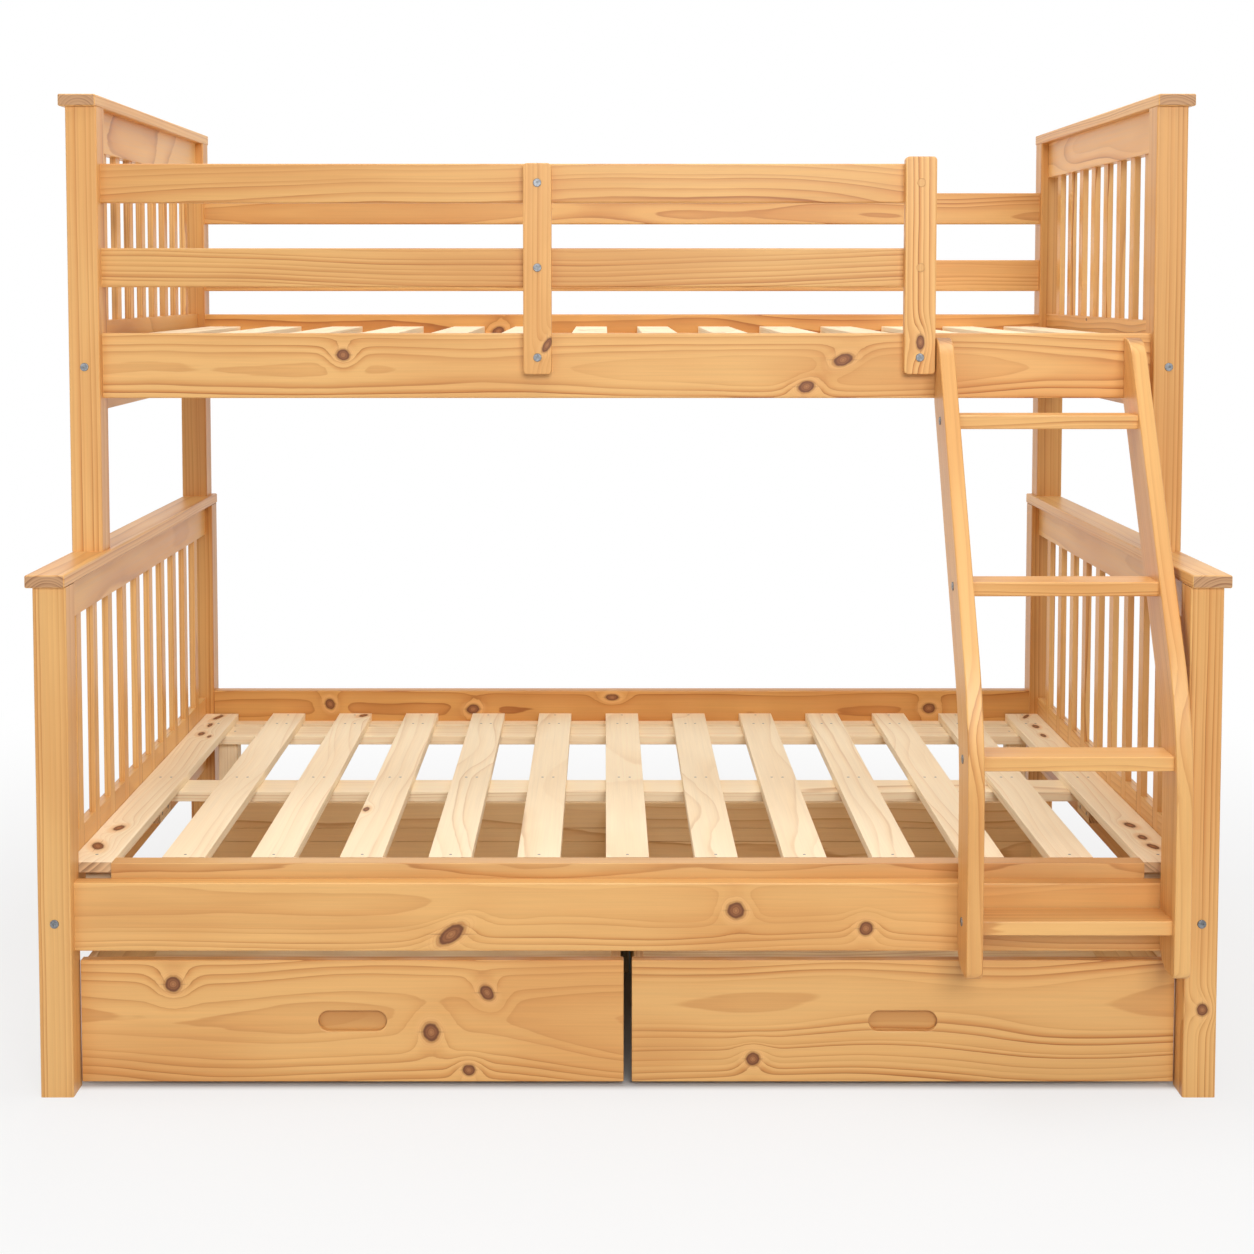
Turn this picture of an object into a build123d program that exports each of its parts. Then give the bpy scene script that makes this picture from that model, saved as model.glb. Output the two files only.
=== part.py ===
"""A bunk bed of solid pine: a single bed standing on a small double, with a ladder and two floor drawers.

Millimetres. +X runs along the length of the bed, -Y faces the ladder and the drawers, +Z is up.
The origin is on the floor, in the middle of the whole outline. Depths below are measured from the
front faces of the lower posts and are shifted to the origin in one place, by DEPTH_SHIFT.
"""
import os
from math import atan, cos, degrees, radians, sin, sqrt, tan

from build123d import *

# Timber sections and overall sizes
POST = 57.0
LOWER_LENGTH = 2030.0          # over the lower posts, for a 1900 mattress
LOWER_DEPTH = 1290.0           # over the lower posts, for a 1200 mattress
UPPER_DEPTH = 1000.0           # over the upper posts, for a 900 mattress
LOWER_TOP = 910.0              # top of the lower caps
UPPER_TOP = 1750.0             # top of the upper caps
CAP_T = 22.0
CAP_SIDE = 11.0                # cap past the outer face of its posts
CAP_END = 8.0                  # cap past the front and back faces of its posts
BOARD_T = 24.0                 # top boards, and the end rails of the upper bed
LOWER_BOARD_H = 68.0
UPPER_BOARD_H = 78.0
END_RAIL_T = 18.0              # end rails of the lower bed
ROUND = 3.0                    # worn edge of posts, rails and caps

# Side rails, decks and end rails of the lower bed
RAIL_T, RAIL_H = 30.0, 120.0
RAIL_SET = 22.0                # face of a rail behind the face of its post
LOWER_FRONT_RAIL_Z = 250.0     # underside
LOWER_DECK = LOWER_FRONT_RAIL_Z + RAIL_H + 26.0   # top of the slats
LOWER_BACK_RAIL_Z = LOWER_DECK - 66.0
LOWER_END_RAIL = (LOWER_DECK - 128.0, LOWER_DECK + 38.0)

# Side rails, deck, end rails and guard rails of the upper bed, hung down from its caps
UPPER_FRONT_RAIL_Z = UPPER_TOP - 557.0
UPPER_DECK = UPPER_FRONT_RAIL_Z + 113.0
UPPER_BACK_RAIL_Z = UPPER_DECK - 92.0
UPPER_END_RAIL = (UPPER_TOP - 582.0, UPPER_TOP - 415.0)
GUARD_T, GUARD_H = 22.0, 72.0
FRONT_GUARD_Z = (UPPER_TOP - 352.0, UPPER_TOP - 197.0)
BACK_GUARD_Z = tuple(z - 10.0 for z in FRONT_GUARD_Z)

# Spindles of the four end frames
SPINDLE_W, SPINDLE_T = 32.0, 12.0
LOWER_SPINDLES, UPPER_SPINDLES = 10, 8
SPINDLE_HOUSED = 12.0          # into the boards
SPINDLE_LAP = 50.0             # down the notches of a lower end rail

# Slats and what carries them
SLAT_T = 18.0
LOWER_SLAT_W, LOWER_SLATS = 76.0, 13
UPPER_SLAT_W, UPPER_SLATS = 72.0, 14
UPPER_SLAT_END = 26.5          # last upper slat to the end rail
LEDGER_D, LEDGER_H = 35.0, 25.0
BATTEN_D, BATTEN_H = 35.0, 50.0
BEAM_W, BEAM_T = 95.0, 20.0
MIDDLE_BEAM_Y = LOWER_DEPTH / 2
REAR_BEAM_Y = LOWER_DEPTH - 157.5
LEG, LEG_SPACE = 44.0, 34.0    # square leg, and its distance from the inner face of the posts
CENTRE_LEG_T, CENTRE_LEG_D = 18.0, 70.0
CLEAT_D, CLEAT_H = 36.5, 45.0

# Ladder
SIDE_T, SIDE_W = 28.0, 90.0
LADDER_WIDTH = 378.0           # over its two side boards
LADDER_CLEAR = 10.0            # from the right post
LADDER_FOOT = LOWER_FRONT_RAIL_Z - 20.0
LADDER_HEAD = UPPER_FRONT_RAIL_Z + RAIL_H - 8.0
HEAD_OVER = 11.5               # middle of the board past the upper rail's face, at the head
BEND_Z = 643.7                 # where the two straight runs would meet
BEND_R = 500.0
HEAD_R, HEEL_R, TOE_R = 55.0, 45.0, 15.0
RUNG_T, RUNG_D = 25.0, 72.0
RUNGS = 4
RUNG_LOW, RUNG_DROP = 328.0, 137.0     # top of the first rung, and of the last one below the head
RUNG_FRONT = 14.0              # rung behind the front edge of the side boards

# Braces that join the front guards and the rail
BRACE_T = 22.0
MIDDLE_BRACE_W, END_BRACE_W = 52.0, 57.0
BRACE_SPAN = 701.0             # left edge to left edge
BRACE_LOW = UPPER_FRONT_RAIL_Z + 45.0
MIDDLE_BRACE_TOP = FRONT_GUARD_Z[1] + GUARD_H
END_BRACE_TOP = MIDDLE_BRACE_TOP + 12.0
BRACE_CORNER = 7.5

# Drawers
FRONT_SET = 45.0               # face of a drawer front behind the posts
FRONT_T = 20.0
FRONT_Z = (9.0, LOWER_FRONT_RAIL_Z - 24.0)
FRONT_MID_GAP, FRONT_END_GAP = 7.0, 2.5           # front to the middle of the bed, and to the post
BOX_IN = 5.0                   # box inside the ends of its front
WALL_T = 16.0
WALL_Z = (52.0, FRONT_Z[1] - 4.0)
DRAWER_BACK = REAR_BEAM_Y - 26.5
SEAM_DROPS = (58.0, 89.0)      # grooves of the back wall below its top
BOTTOM_T = 9.0
BOTTOM_LIFT = 12.0             # underside of the bottom above the lower edge of the walls
WHEEL_R, WHEEL_W = 25.0, 20.0
STUB_R = 3.0
FORK_PLATE, FORK_WALL = 4.0, 4.0
WHEEL_GAP = 1.0                # between a wheel and the walls of its fork
WHEEL_Y = (FRONT_SET + 95.0, DRAWER_BACK - 76.0)
WHEEL_INSET = 73.0
PULL_L, PULL_H, PULL_DEPTH, PULL_ROUND = 119.0, 36.0, 10.0, 2.5

# Fixings
BOLT_D, BOLT_L = 8.0, 100.0
RAIL_BOLT_IN = 20.0            # bolts from the edges of a side rail
SHORT_D, SHORT_L = 7.0, 34.0
LONG_D, LONG_L = 7.0, 70.0
HEAD_D, HEAD_T, HEAD_SEAT = 15.0, 3.0, 1.5
SOCKET = 5.0
NUT_D, NUT_L, NUT_IN = 10.0, 15.0, 34.0
DOWEL_D, DOWEL_L = 8.0, 40.0
PIN_D, PIN_L = 10.0, 80.0
SCREW_D, SCREW_L, SCREW_HEAD = 4.0, 45.0, 8.0
NAIL_D, NAIL_L, NAIL_HEAD = 2.6, 34.0, 5.4
NAIL_PAIR = 11.0               # the two nails at a beam, from the middle of the slat
PLUG_SEAT = 6.5                # bolt head seat under a wooden plug
LOWER_GAPS = (-5.5, -3.5, 0.5, 1.5, 3.5, 5.5)     # slat gaps with a ledger screw, in slat pitches
BATTEN_GAPS = (-4.5, -2.5, -0.5, 2.5, 4.5)
UPPER_GAPS = (-6, -4, -2, 0, 2, 4, 6)

# Clearances
HOLE_GAP = 0.15                # round a bolt, dowel, nut, screw or nail
HOUSING_GAP = 0.15             # on each side of a housed end
SLAT_GAP = 0.3
STOP_GAP = 0.3                 # a closed drawer to the legs that stop it
BORE_GAP = 0.08                # round a wheel stub
BRACE_GAP = 2.0                # end brace to the ladder, and past the ends of the guards

# Derived positions
HALF = LOWER_LENGTH / 2
INSIDE = HALF - POST
UPPER_SET = LOWER_DEPTH - UPPER_DEPTH
UPPER_HALF = HALF + CAP_SIDE
LADDER_BACK = RAIL_SET
LADDER_FRONT = LADDER_BACK - SIDE_W
LADDER_MIDDLE = (LADDER_BACK + LADDER_FRONT) / 2
DEPTH_SHIFT = -((LOWER_DEPTH + CAP_END) + LADDER_FRONT) / 2
LOWER_MID_X = HALF - POST / 2
UPPER_MID_X = UPPER_HALF - POST / 2
LOWER_END_FACE = LOWER_MID_X - END_RAIL_T / 2
UPPER_END_FACE = UPPER_MID_X - BOARD_T / 2
FRONT_RAIL_BACK = RAIL_SET + RAIL_T
BACK_RAIL_FRONT = LOWER_DEPTH - RAIL_SET - RAIL_T
UPPER_RAIL_FACE = UPPER_SET + RAIL_SET
UPPER_RAIL_BACK = UPPER_RAIL_FACE + RAIL_T
BATTEN_BACK = FRONT_RAIL_BACK + BATTEN_D
LEAN = degrees(atan((UPPER_RAIL_FACE + HEAD_OVER - LADDER_MIDDLE) / (LADDER_HEAD - BEND_Z)))
LADDER_X = (INSIDE - LADDER_CLEAR - LADDER_WIDTH, INSIDE - LADDER_CLEAR - SIDE_T)   # left faces
RUNG_STEP = (LADDER_HEAD - RUNG_DROP - RUNG_LOW) / (RUNGS - 1)
RUNG_TOPS = [RUNG_LOW + k * RUNG_STEP for k in range(RUNGS)]
END_BRACE_X = LADDER_X[0] - BRACE_GAP - END_BRACE_W
MIDDLE_BRACE_X = END_BRACE_X - BRACE_SPAN
GUARD_END = END_BRACE_X + END_BRACE_W - BRACE_GAP
LEG_IN = INSIDE - LEG_SPACE - LEG
FRONT_X = (FRONT_MID_GAP, INSIDE - FRONT_END_GAP)
LOWER_PITCH = 2 * (LOWER_END_FACE - SLAT_GAP - LOWER_SLAT_W / 2) / (LOWER_SLATS - 1)
UPPER_PITCH = 2 * (UPPER_END_FACE - UPPER_SLAT_END - UPPER_SLAT_W / 2) / (UPPER_SLATS - 1)

drills = []                    # every hole a fixing needs, in the order drilled
bolt_drills = []


def block(x0, x1, y0, y1, z0, z1, soft=0.0, along=None):
    """A box between two corners; soft rounds all its edges, or those along one axis."""
    x0, x1 = sorted((x0, x1))
    centre = Pos((x0 + x1) / 2, (y0 + y1) / 2 + DEPTH_SHIFT, (z0 + z1) / 2)
    made = centre * Box(x1 - x0, y1 - y0, z1 - z0)
    if soft:
        edges = made.edges() if along is None else made.edges().filter_by(along)
        made = fillet(edges, soft)
    return made


def rod(x, y, z, direction, diameter, length):
    """A cylinder that starts at a point and runs along a direction."""
    frame = Plane(origin=(x, y + DEPTH_SHIFT, z), z_dir=direction)
    return frame.location * Cylinder(diameter / 2, length, align=(Align.CENTER, Align.CENTER, Align.MIN))


def near(shape, tools):
    box = shape.bounding_box()
    found = []
    for low, high, tool in tools:
        apart = (low.X > box.max.X or high.X < box.min.X or low.Y > box.max.Y or high.Y < box.min.Y
                 or low.Z > box.max.Z or high.Z < box.min.Z)
        if not apart:
            found.append(tool)
    return found


def register(tool, table):
    box = tool.bounding_box()
    table.append((box.min, box.max, tool))


def drilled(shape, tools=None):
    """The solid with every hole that reaches it."""
    found = near(shape, drills if tools is None else tools)
    if not found:
        return shape.solid()
    return (shape - found).solid()


def head_bolt(x, y, z, direction, diameter, length, seat=HEAD_SEAT):
    """A flat-headed bolt with a hexagon socket. The point is on the timber's face; drills its hole too."""
    frame = Plane(origin=(x, y + DEPTH_SHIFT, z), z_dir=direction).location
    low = (Align.CENTER, Align.CENTER, Align.MIN)
    head = Pos(0, 0, seat - HEAD_T) * Cylinder(HEAD_D / 2, HEAD_T, align=low)
    head = fillet(head.edges().group_by(Axis.Z)[0], 0.8)
    hexagon = RegularPolygon(SOCKET / 2, 6, major_radius=False)
    socket = Pos(0, 0, seat - HEAD_T) * extrude(hexagon, HEAD_T - 0.6)
    shank = Pos(0, 0, seat) * Cylinder(diameter / 2, length, align=low)
    hole = Pos(0, 0, seat) * Cylinder(diameter / 2 + HOLE_GAP, length + 1.0, align=low)
    sink = Cylinder(HEAD_D / 2 + 2 * HOLE_GAP, seat, align=low)
    register(frame * (hole + sink), drills)
    register(frame * hole, bolt_drills)
    return (frame * (head - socket + shank)).solid()


def barrel_nut(x, y, z, direction, open_from):
    """A cross nut centred on a point; its hole comes in from open_from along the nut."""
    half = NUT_L / 2
    d = Vector(*direction)
    start = Vector(x, y, z) - d * half
    nut = rod(start.X, start.Y, start.Z, direction, NUT_D, NUT_L)
    way = Vector(x, y, z) - d * open_from
    register(rod(way.X, way.Y, way.Z, direction, NUT_D + 2 * HOLE_GAP, open_from + half + 0.5), drills)
    return nut


def plain(x, y, z, direction, diameter, length, into=0.5):
    """A dowel or pin with its hole, which is a little longer at both ends."""
    d = Vector(*direction)
    start = Vector(x, y, z) - d * into
    register(rod(start.X, start.Y, start.Z, direction, diameter + 2 * HOLE_GAP, length + 2 * into), drills)
    return rod(x, y, z, direction, diameter, length).solid()


def dowel(x, y, z, direction):
    return plain(x, y, z, direction, DOWEL_D, DOWEL_L)


def sunk(x, y, z, direction, diameter, length, head):
    """A countersunk screw or nail, its head flush with the face at the point."""
    frame = Plane(origin=(x, y + DEPTH_SHIFT, z), z_dir=direction).location
    low = (Align.CENTER, Align.CENTER, Align.MIN)
    depth = (head - diameter) / 2
    gap = HOLE_GAP
    cone = Cone(head / 2, diameter / 2, depth, align=low)
    shank = Pos(0, 0, depth) * Cylinder(diameter / 2, length - depth, align=low)
    wide = Cone(head / 2 + gap, diameter / 2 + gap, depth, align=low)
    hole = Pos(0, 0, depth) * Cylinder(diameter / 2 + gap, length - depth + 0.5, align=low)
    register(frame * (wide + hole), drills)
    return (frame * (cone + shank)).solid()


def save(name, shapes):
    shapes = shapes if isinstance(shapes, list) else [shapes]
    shape = shapes[0] if len(shapes) == 1 else Compound(children=[s.solid() for s in shapes])
    shape.label = name
    export_step(shape, f"parts/{name}.step")


def spindle_places(count, front, back):
    gap = (back - front - count * SPINDLE_W) / (count + 1)
    return [front + gap + k * (SPINDLE_W + gap) for k in range(count)]


def lower_fixings():
    bolts, nuts, dowels, pins = [], [], [], []
    for s in (-1, 1):
        inward = (-s, 0, 0)
        # Side rails: two bolts through each post into each rail end
        front, back = FRONT_RAIL_BACK - RAIL_T / 2, BACK_RAIL_FRONT + RAIL_T / 2
        for y, z0 in ((front, LOWER_FRONT_RAIL_Z), (back, LOWER_BACK_RAIL_Z)):
            for z in (z0 + RAIL_BOLT_IN, z0 + RAIL_H - RAIL_BOLT_IN):
                bolts.append(head_bolt(s * HALF, y, z, inward, BOLT_D, BOLT_L))
                nuts.append(barrel_nut(s * (INSIDE - NUT_IN), y, z, (0, -1, 0), RAIL_T / 2))
        # End rails: one bolt through each post, with a dowel above it
        bolt_z = LOWER_END_RAIL[0] + 37
        for y, way in ((0.0, 1), (LOWER_DEPTH, -1)):
            face = y + way * POST
            bolts.append(head_bolt(s * LOWER_MID_X, y, bolt_z, (0, way, 0), BOLT_D, BOLT_L))
            nuts.append(barrel_nut(s * LOWER_MID_X, face + way * NUT_IN, bolt_z, (-s, 0, 0), END_RAIL_T / 2))
            for z in (LOWER_END_RAIL[1] - 34, LOWER_TOP - CAP_T - 18, LOWER_TOP - CAP_T - 50):
                dowels.append(dowel(s * LOWER_MID_X, face - way * DOWEL_L / 2, z, (0, way, 0)))
        dowels.append(dowel(s * LOWER_MID_X, POST / 2, LOWER_TOP - CAP_T - DOWEL_L / 2, (0, 0, 1)))
        for y in (UPPER_SET + POST / 2, LOWER_DEPTH - POST / 2):
            pins.append(plain(s * LOWER_MID_X, y, LOWER_TOP - CAP_T / 2 - PIN_L / 2, (0, 0, 1), PIN_D, PIN_L))
    return bolts, nuts, dowels, pins


def upper_fixings():
    bolts, nuts, dowels = [], [], []
    front, back = UPPER_RAIL_FACE + RAIL_T / 2, BACK_RAIL_FRONT + RAIL_T / 2
    guard_front = UPPER_RAIL_FACE + GUARD_T / 2
    guard_back = LOWER_DEPTH - RAIL_SET - GUARD_T / 2
    bolt_z = sum(UPPER_END_RAIL) / 2
    for s in (-1, 1):
        inward = (-s, 0, 0)
        spots = [(y, z, RAIL_T) for y, z0 in ((front, UPPER_FRONT_RAIL_Z), (back, UPPER_BACK_RAIL_Z))
                 for z in (z0 + RAIL_BOLT_IN, z0 + RAIL_H - RAIL_BOLT_IN)]
        spots += [(guard_back, z + GUARD_H / 2, GUARD_T) for z in BACK_GUARD_Z]
        if s < 0:
            spots += [(guard_front, z + GUARD_H / 2, GUARD_T) for z in FRONT_GUARD_Z]
        for y, z, thick in spots:
            bolts.append(head_bolt(s * UPPER_HALF, y, z, inward, BOLT_D, BOLT_L))
            nuts.append(barrel_nut(s * (UPPER_HALF - POST - NUT_IN), y, z, (0, -1, 0), thick / 2))
        for y, way in ((UPPER_SET, 1), (LOWER_DEPTH, -1)):
            face = y + way * POST
            bolts.append(head_bolt(s * UPPER_MID_X, y, bolt_z, (0, way, 0), BOLT_D, BOLT_L))
            nuts.append(barrel_nut(s * UPPER_MID_X, face + way * NUT_IN, bolt_z, (-s, 0, 0), BOARD_T / 2))
            for z in (UPPER_END_RAIL[0] + 20, UPPER_TOP - CAP_T - 18, UPPER_TOP - CAP_T - 58):
                dowels.append(dowel(s * UPPER_MID_X, face - way * DOWEL_L / 2, z, (0, way, 0)))
            middle = y + way * POST / 2
            dowels.append(dowel(s * UPPER_MID_X, middle, UPPER_TOP - CAP_T - DOWEL_L / 2, (0, 0, 1)))
    return bolts, nuts, dowels


def brace_fixings():
    bolts, plugs = [], []
    face = UPPER_RAIL_FACE - BRACE_T
    heights = [z + GUARD_H / 2 for z in reversed(FRONT_GUARD_Z)] + [BRACE_LOW + 31]
    middle, end = MIDDLE_BRACE_X + MIDDLE_BRACE_W / 2, END_BRACE_X + END_BRACE_W / 2
    for x, plugged in ((middle, 0), (end, 2)):
        for k, z in enumerate(heights):
            seat = PLUG_SEAT if k < plugged else HEAD_SEAT
            bolts.append(head_bolt(x, face, z, (0, 1, 0), SHORT_D, SHORT_L, seat))
            if k < plugged:
                plug = rod(x, face - 0.5, z, (0, 1, 0), HEAD_D, PLUG_SEAT - HEAD_T + 0.5)
                plugs.append(fillet(plug.edges().group_by(Axis.Y)[0], 0.5).solid())
    return bolts, plugs


def centre_line(z):
    """Depth of the middle of a ladder side board at a height."""
    start = BEND_Z - BEND_R * tan(radians(LEAN / 2))
    end = start + BEND_R * sin(radians(LEAN))
    if z <= start:
        return LADDER_MIDDLE
    if z <= end:
        return LADDER_MIDDLE + BEND_R - sqrt(BEND_R ** 2 - (z - start) ** 2)
    return LADDER_MIDDLE + BEND_R * (1 - cos(radians(LEAN))) + (z - end) * tan(radians(LEAN))


def rung_front(top):
    z = top - RUNG_T / 2
    leaning = z > BEND_Z
    return centre_line(z) - SIDE_W / 2 / (cos(radians(LEAN)) if leaning else 1) + RUNG_FRONT


def ladder_board(x):
    """One side board: upright below, leaning above, its head cut flat against the upper rail."""
    a, half = radians(LEAN), SIDE_W / 2
    hub = (LADDER_MIDDLE + BEND_R, BEND_Z - BEND_R * tan(a / 2))

    def on(radius, angle):
        return (hub[0] - radius * cos(angle), hub[1] + radius * sin(angle))

    outer, inner = BEND_R + half, BEND_R - half
    front_end, back_end = on(outer, a), on(inner, a)
    head_front = (front_end[0] + (LADDER_HEAD - front_end[1]) * tan(a), LADDER_HEAD)
    flat = UPPER_RAIL_FACE
    heel = (flat, back_end[1] + (flat - back_end[0]) / tan(a))
    head_round = min(HEAD_R, 0.95 * (flat - head_front[0]) * tan(radians(90 + LEAN) / 2))
    s = DEPTH_SHIFT

    def at(p):
        return (p[0] + s, p[1])

    lines = [
        Line(at((LADDER_FRONT, LADDER_FOOT)), at(on(outer, 0))),
        ThreePointArc(at(on(outer, 0)), at(on(outer, a / 2)), at(front_end)),
        Line(at(front_end), at(head_front)),
        Line(at(head_front), at((flat, LADDER_HEAD))),
        Line(at((flat, LADDER_HEAD)), at(heel)),
        Line(at(heel), at(back_end)),
        ThreePointArc(at(back_end), at(on(inner, a / 2)), at(on(inner, 0))),
        Line(at(on(inner, 0)), at((LADDER_BACK, LADDER_FOOT))),
        Line(at((LADDER_BACK, LADDER_FOOT)), at((LADDER_FRONT, LADDER_FOOT))),
    ]
    board = Pos(x, 0, 0) * extrude(Plane.YZ * make_face(Curve() + lines), SIDE_T)
    toe, back_foot = (LADDER_FRONT, LADDER_FOOT), (LADDER_BACK, LADDER_FOOT)
    for place, radius in ((toe, TOE_R), (back_foot, HEEL_R), (head_front, head_round)):
        corner = Vector(x + SIDE_T / 2, place[0] + s, place[1])
        edge = board.edges().filter_by(Axis.X).sort_by_distance(corner)[0]
        board = fillet(edge, radius)
    rims = board.faces().filter_by(Axis.X).edges()
    return fillet(rims, ROUND)


def ladder_fixings():
    bolts, dowels = [], []
    for left, s in ((LADDER_X[0], -1), (LADDER_X[1], 1)):
        outer = left if s < 0 else left + SIDE_T
        for top in RUNG_TOPS:
            y, z = rung_front(top) + RUNG_D / 2, top - RUNG_T / 2
            bolts.append(head_bolt(outer, y, z, (-s, 0, 0), LONG_D, LONG_L))
            inner = outer - s * SIDE_T
            dowels.append(dowel(inner + s * DOWEL_L / 2, y + 22, z, (-s, 0, 0)))
        x = left + SIDE_T / 2
        bolts.append(head_bolt(x, UPPER_RAIL_BACK, UPPER_FRONT_RAIL_Z + 42, (0, -1, 0), LONG_D, LONG_L))
        bolts.append(head_bolt(x, FRONT_RAIL_BACK, LOWER_FRONT_RAIL_Z + 50, (0, -1, 0), LONG_D, LONG_L))
    return bolts, dowels


def lower_slat_boxes():
    """Left, right, front and back of each lower slat; the end ones run on beside the batten."""
    found = []
    for k in range(LOWER_SLATS):
        x = (k - (LOWER_SLATS - 1) / 2) * LOWER_PITCH
        ends = k in (0, LOWER_SLATS - 1)
        front = POST + SLAT_GAP if ends else BATTEN_BACK + SLAT_GAP
        back = LOWER_DEPTH - POST - SLAT_GAP if ends else BACK_RAIL_FRONT - SLAT_GAP
        found.append((x - LOWER_SLAT_W / 2, x + LOWER_SLAT_W / 2, front, back))
    return found


def upper_slat_boxes():
    front, back = UPPER_RAIL_BACK + SLAT_GAP, BACK_RAIL_FRONT - SLAT_GAP
    found = []
    for k in range(UPPER_SLATS):
        x = (k - (UPPER_SLATS - 1) / 2) * UPPER_PITCH
        found.append((x - UPPER_SLAT_W / 2, x + UPPER_SLAT_W / 2, front, back))
    return found


def nail(x, y, z):
    """A nail driven down, its head flush with a face."""
    return sunk(x, y, z, (0, 0, -1), NAIL_D, NAIL_L, NAIL_HEAD)


def nails():
    """One nail where a slat lies on a ledger, two where it lies on a beam, and those of legs and cleats."""
    made = []
    for left, right, front, back in lower_slat_boxes():
        x = (left + right) / 2
        for y in (BATTEN_BACK + LEDGER_D / 2, BACK_RAIL_FRONT - LEDGER_D / 2):
            made.append(nail(x, y, LOWER_DECK))
        for y in (MIDDLE_BEAM_Y, REAR_BEAM_Y):
            made += [nail(x + side * NAIL_PAIR, y, LOWER_DECK) for side in (-1, 1)]
    for left, right, front, back in upper_slat_boxes():
        for y in (UPPER_RAIL_BACK + LEDGER_D / 2, BACK_RAIL_FRONT - LEDGER_D / 2):
            made.append(nail((left + right) / 2, y, UPPER_DECK))
    beam_top = LOWER_DECK - SLAT_T
    for s in (-1, 1):
        made.append(nail(s * (LEG_IN + 10), REAR_BEAM_Y, beam_top))
        made.append(nail(s * (LOWER_END_FACE - CLEAT_D / 2), MIDDLE_BEAM_Y - 30, beam_top))
        made.append(nail(0, MIDDLE_BEAM_Y + s * 20, beam_top))
    return made


def screw(x, y, z, direction):
    return sunk(x, y, z, direction, SCREW_D, SCREW_L, SCREW_HEAD)


def screws():
    """Screws of the ledgers, of the batten and of the cleats, all one size."""
    made, forward, backward = [], (0, -1, 0), (0, 1, 0)
    low_z, high_z = LOWER_DECK - SLAT_T - LEDGER_H / 2, UPPER_DECK - SLAT_T - LEDGER_H / 2
    for gap in LOWER_GAPS:
        made.append(screw(gap * LOWER_PITCH, BATTEN_BACK + LEDGER_D, low_z, forward))
        made.append(screw(gap * LOWER_PITCH, BACK_RAIL_FRONT - LEDGER_D, low_z, backward))
    for gap in UPPER_GAPS:
        made.append(screw(gap * UPPER_PITCH, UPPER_RAIL_BACK + LEDGER_D, high_z, forward))
        made.append(screw(gap * UPPER_PITCH, BACK_RAIL_FRONT - LEDGER_D, high_z, backward))
    for gap in BATTEN_GAPS:
        made.append(screw(gap * LOWER_PITCH, BATTEN_BACK, LOWER_DECK - BATTEN_H + 11, forward))
    cleat_z = LOWER_DECK - SLAT_T - BEAM_T - CLEAT_H / 2 - 8
    for s in (-1, 1):
        for y in (MIDDLE_BEAM_Y - 25, MIDDLE_BEAM_Y + 25):
            made.append(screw(s * (LOWER_END_FACE - CLEAT_D), y, cleat_z, (s, 0, 0)))
    return made


def lower_bed():
    cap_low = LOWER_TOP - CAP_T
    inner_y = (POST, LOWER_DEPTH - POST)
    for s, side in ((-1, "left"), (1, "right")):
        for y, end in ((0.0, "front"), (LOWER_DEPTH - POST, "back")):
            post = block(s * HALF, s * INSIDE, y, y + POST, 0, cap_low, ROUND, Axis.Z)
            save(f"lower_{end}_{side}_post", drilled(post))
        ends = (-CAP_END, LOWER_DEPTH + CAP_END)
        cap = block(s * (HALF + CAP_SIDE), s * INSIDE, *ends, cap_low, LOWER_TOP, ROUND)
        save(f"lower_{side}_cap", drilled(cap))
    boards, rails, spindles = [], [], []
    places = spindle_places(LOWER_SPINDLES, *inner_y)
    board_low = cap_low - LOWER_BOARD_H
    g = HOUSING_GAP
    foot, head = LOWER_END_RAIL[1] - SPINDLE_LAP, board_low + SPINDLE_HOUSED
    flat = LOWER_END_FACE
    for s in (-1, 1):
        near_x = s * (LOWER_MID_X - BOARD_T / 2)
        board = block(near_x, near_x + s * BOARD_T, *inner_y, board_low, cap_low)
        rail = block(s * flat, s * (flat + END_RAIL_T), *inner_y, *LOWER_END_RAIL)
        for y0 in places:
            y1 = y0 + SPINDLE_W
            spindles.append(block(s * flat, s * (flat + SPINDLE_T), y0, y1, foot, head, 1.5, Axis.Z).solid())
            outer = s * (flat + SPINDLE_T + g)
            board -= block(s * (flat - g), outer, y0 - g, y1 + g, board_low - 1, head)
            rail -= block(s * (flat - 1), outer, y0 - g, y1 + g, foot, LOWER_END_RAIL[1] + 1)
        boards.append(drilled(board))
        rails.append(drilled(rail))
    save("lower_top_boards", boards)
    save("lower_end_rails", rails)
    save("lower_spindles", spindles)

    z = LOWER_FRONT_RAIL_Z
    front = block(-INSIDE, INSIDE, RAIL_SET, FRONT_RAIL_BACK, z, z + RAIL_H, ROUND, Axis.X)
    z = LOWER_BACK_RAIL_Z
    back = block(-INSIDE, INSIDE, BACK_RAIL_FRONT, LOWER_DEPTH - RAIL_SET, z, z + RAIL_H, ROUND, Axis.X)
    save("lower_front_side_rail", drilled(front))
    save("lower_back_side_rail", drilled(back))
    lower_deck()


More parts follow.
